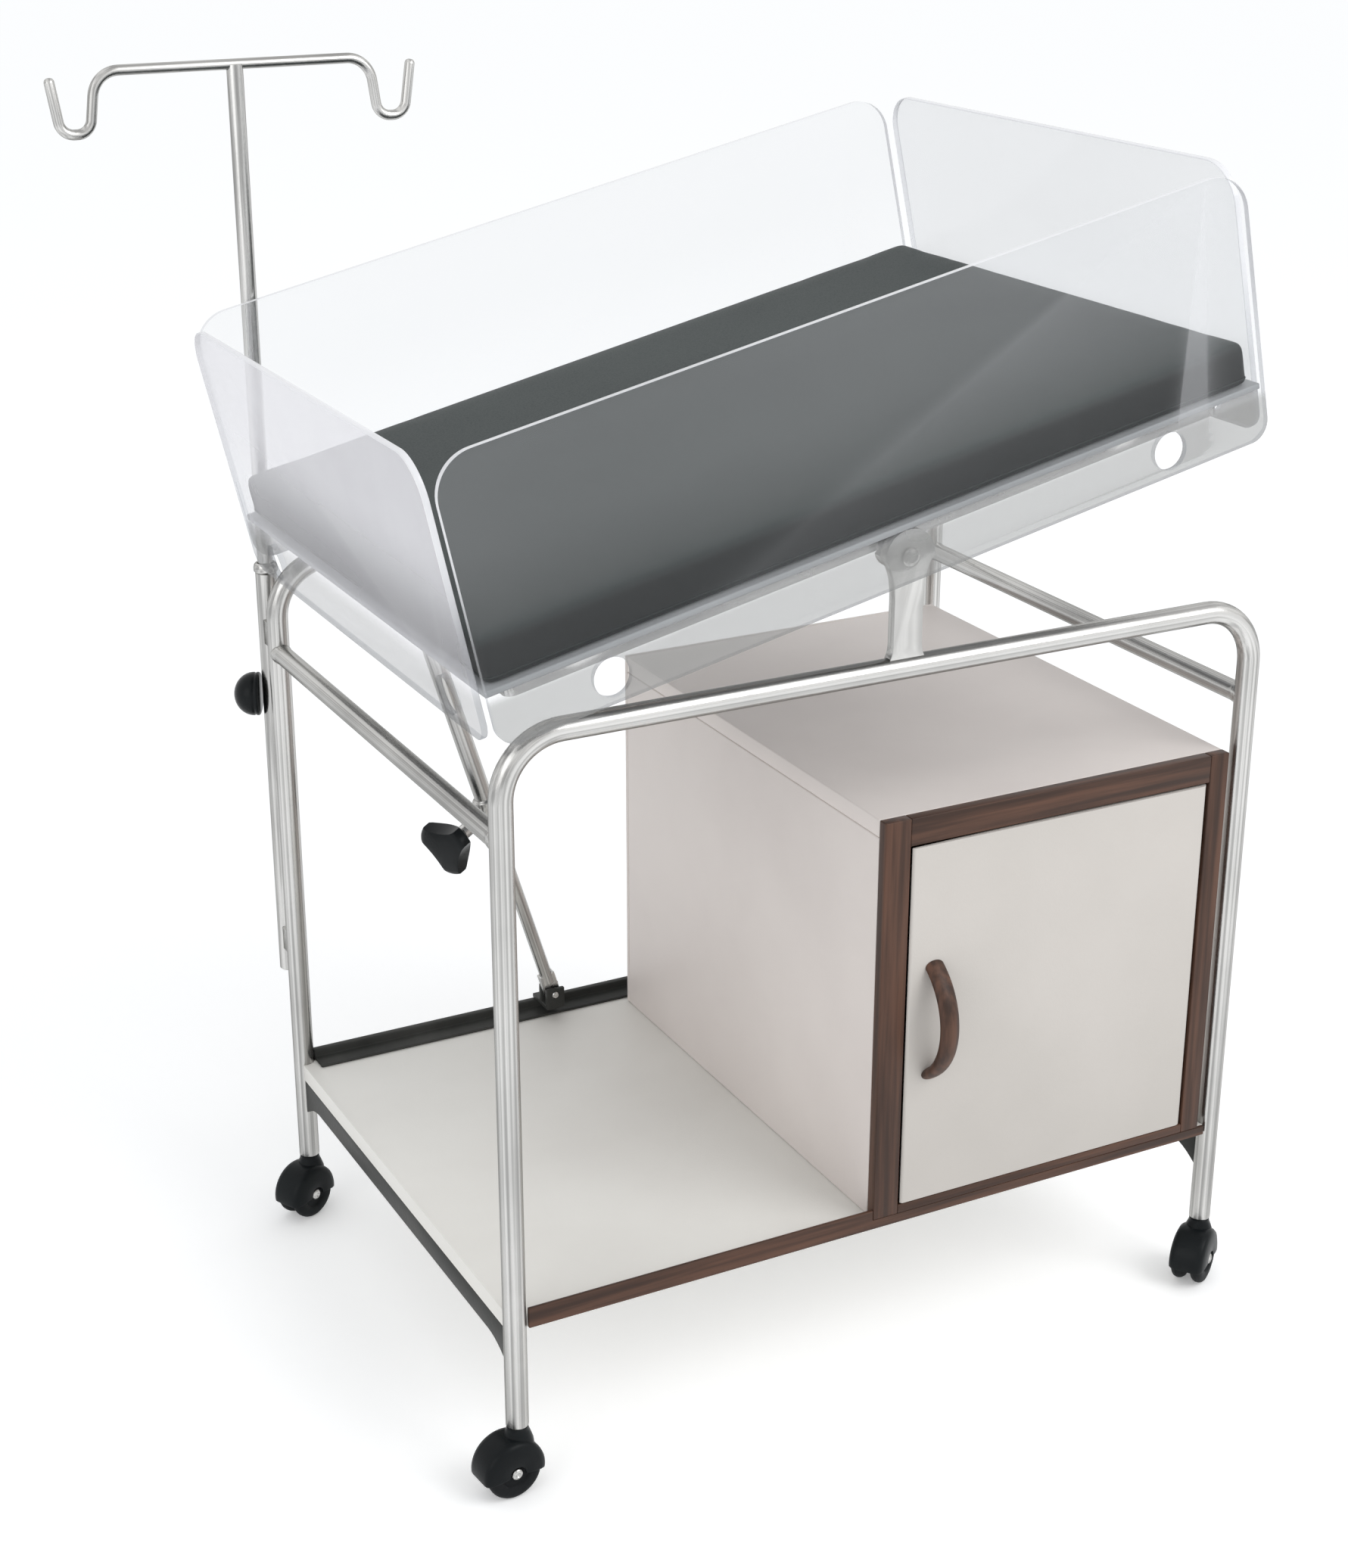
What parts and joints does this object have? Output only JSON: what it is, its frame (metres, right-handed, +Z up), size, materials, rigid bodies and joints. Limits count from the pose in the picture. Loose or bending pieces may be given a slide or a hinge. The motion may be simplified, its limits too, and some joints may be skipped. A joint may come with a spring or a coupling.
{
  "type": "hospital bassinet",
  "caption": "Wheeled hospital bassinet: a clear tilting tub with a padded mattress on a tube frame with shelf, hinged-door cabinet, clamp strut and sliding drip pole.",
  "frame": {"origin": "on the floor below the middle of the whole object's box", "axes": "+Z up, -X towards the head end with the drip pole, -Y towards the cabinet door"},
  "size_m": [1.0096, 0.6804, 1.2517],
  "materials": {
    "steel": "polished stainless tube",
    "laminate": "off-white laminate on board",
    "door_white": "white laminate on board",
    "brown_trim": "satin brown edging",
    "dark_rail": "dark grey paint",
    "acrylic": "clear acrylic sheet",
    "floor_board": "white sheet",
    "vinyl": "vinyl-coated mattress cover",
    "black_plastic": "moulded black",
    "castor_plastic": "moulded black",
    "wheel_rubber": "black tread"
  },
  "bodies": {
    "frame": {"front_hoop": "steel", "rear_hoop": "steel", "left_crossbar": "steel", "right_crossbar": "steel", "front_pivot_pillar": "steel", "rear_pivot_pillar": "steel", "front_pivot_pin": "steel", "rear_pivot_pin": "steel", "shelf_board": "laminate", "shelf_left_rail": "dark_rail", "shelf_right_rail": "dark_rail", "shelf_rear_lip": "dark_rail", "shelf_front_trim": "brown_trim", "cabinet_left_side": "laminate", "cabinet_right_side": "laminate", "cabinet_top": "laminate", "cabinet_back": "laminate", "cabinet_face_frame": "brown_trim", "door_catch": "black_plastic", "door_bottom_pin": "steel", "door_top_pin": "steel", "strut_foot_clevis": "dark_rail", "strut_foot_pin": "steel", "pole_guide": "steel", "pole_guide_bush": "steel", "pole_guide_lower_block": "steel", "pole_guide_upper_block": "steel"},
    "tub": {"tub_floor": "floor_board", "tub_base_frame": "steel", "tub_front_wall": "acrylic", "tub_rear_wall": "acrylic", "tub_head_wall": "acrylic", "tub_foot_wall": "acrylic", "strut_head_clevis": "steel", "strut_head_pin": "steel"},
    "mattress": {"mattress": "vinyl"},
    "strut_rod": {"strut_rod": "steel"},
    "strut_tube": {"strut_tube": "steel"},
    "strut_knob": {"strut_knob": "black_plastic"},
    "drip_pole": {"drip_pole": "steel", "drip_hook_bar": "steel"},
    "pole_knob": {"pole_knob": "black_plastic"},
    "door": {"cabinet_door": "door_white", "door_handle": "brown_trim"},
    "front_left_castor": {"front_left_castor": "castor_plastic"},
    "front_left_inner_wheel": {"front_left_inner_wheel": "wheel_rubber"},
    "front_left_outer_wheel": {"front_left_outer_wheel": "wheel_rubber"},
    "front_right_castor": {"front_right_castor": "castor_plastic"},
    "front_right_inner_wheel": {"front_right_inner_wheel": "wheel_rubber"},
    "front_right_outer_wheel": {"front_right_outer_wheel": "wheel_rubber"},
    "rear_left_castor": {"rear_left_castor": "castor_plastic"},
    "rear_left_inner_wheel": {"rear_left_inner_wheel": "wheel_rubber"},
    "rear_left_outer_wheel": {"rear_left_outer_wheel": "wheel_rubber"},
    "rear_right_castor": {"rear_right_castor": "castor_plastic"},
    "rear_right_inner_wheel": {"rear_right_inner_wheel": "wheel_rubber"},
    "rear_right_outer_wheel": {"rear_right_outer_wheel": "wheel_rubber"}
  },
  "joints": [
    {"name": "tub_tilt", "type": "hinge", "parent": "frame", "child": "tub", "pos_m": [0.07786, -0.01092, 0.861], "axis": [0, 1, 0], "range_deg": [0, 12.5]},
    {"name": "mattress_lift", "type": "slide", "parent": "tub", "child": "mattress", "axis": [-0.2164, 0, 0.9763], "range_m": [0, 0.25]},
    {"name": "strut_swing", "type": "hinge", "parent": "frame", "child": "strut_rod", "pos_m": [-0.03214, 0.24708, 0.2153], "axis": [0, 1, 0], "range_deg": [-0.2, 2]},
    {"name": "strut_extend", "type": "slide", "parent": "strut_rod", "child": "strut_tube", "axis": [-0.2901, 0, 0.957], "range_m": [-0.002, 0.07]},
    {"name": "strut_knob_turn", "type": "hinge", "parent": "strut_tube", "child": "strut_knob", "pos_m": [-0.14542, 0.22679, 0.43906], "axis": [-0.8673, -0.4226, -0.2629], "range_deg": [0, 180]},
    {"name": "pole_slide", "type": "slide", "parent": "frame", "child": "drip_pole", "axis": [0, 0, 1], "range_m": [-0.2, 0.14]},
    {"name": "pole_knob_turn", "type": "hinge", "parent": "frame", "child": "pole_knob", "pos_m": [-0.33696, 0.31816, 0.604], "axis": [-0.891, 0.454, 0], "range_deg": [0, 180]},
    {"name": "door_swing", "type": "hinge", "parent": "frame", "child": "door", "pos_m": [0.42586, -0.29592, 0.39], "axis": [0, 0, 1], "range_deg": [0, 95]},
    {"name": "front_left_swivel", "type": "hinge", "parent": "frame", "child": "front_left_castor", "pos_m": [-0.32214, -0.29392, 0.06], "axis": [0, 0, 1], "continuous": true},
    {"name": "front_left_inner_roll", "type": "hinge", "parent": "front_left_castor", "child": "front_left_inner_wheel", "pos_m": [-0.33308, -0.29507, 0.028], "axis": [-0.1045, 0.9945, 0], "continuous": true},
    {"name": "front_left_outer_roll", "type": "hinge", "parent": "front_left_castor", "child": "front_left_outer_wheel", "pos_m": [-0.33308, -0.29507, 0.028], "axis": [-0.1045, 0.9945, 0], "continuous": true},
    {"name": "front_right_swivel", "type": "hinge", "parent": "frame", "child": "front_right_castor", "pos_m": [0.47786, -0.29392, 0.06], "axis": [0, 0, 1], "continuous": true},
    {"name": "front_right_inner_roll", "type": "hinge", "parent": "front_right_castor", "child": "front_right_inner_wheel", "pos_m": [0.46874, -0.30007, 0.028], "axis": [-0.5592, 0.829, 0], "continuous": true},
    {"name": "front_right_outer_roll", "type": "hinge", "parent": "front_right_castor", "child": "front_right_outer_wheel", "pos_m": [0.46874, -0.30007, 0.028], "axis": [-0.5592, 0.829, 0], "continuous": true},
    {"name": "rear_left_swivel", "type": "hinge", "parent": "frame", "child": "rear_left_castor", "pos_m": [-0.32214, 0.27208, 0.06], "axis": [0, 0, 1], "continuous": true},
    {"name": "rear_left_inner_roll", "type": "hinge", "parent": "rear_left_castor", "child": "rear_left_inner_wheel", "pos_m": [-0.33194, 0.26709, 0.028], "axis": [-0.454, 0.891, 0], "continuous": true},
    {"name": "rear_left_outer_roll", "type": "hinge", "parent": "rear_left_castor", "child": "rear_left_outer_wheel", "pos_m": [-0.33194, 0.26709, 0.028], "axis": [-0.454, 0.891, 0], "continuous": true},
    {"name": "rear_right_swivel", "type": "hinge", "parent": "frame", "child": "rear_right_castor", "pos_m": [0.47786, 0.27208, 0.06], "axis": [0, 0, 1], "continuous": true},
    {"name": "rear_right_inner_roll", "type": "hinge", "parent": "rear_right_castor", "child": "rear_right_inner_wheel", "pos_m": [0.4671, 0.26979, 0.028], "axis": [-0.2079, 0.9781, 0], "continuous": true},
    {"name": "rear_right_outer_roll", "type": "hinge", "parent": "rear_right_castor", "child": "rear_right_outer_wheel", "pos_m": [0.4671, 0.26979, 0.028], "axis": [-0.2079, 0.9781, 0], "continuous": true}
  ],
  "couplings": [
    {"joint": "strut_swing", "follows": "tub_tilt", "ratio": 0.0656},
    {"joint": "strut_extend", "follows": "tub_tilt", "m_per_rad": 0.2896}
  ]
}
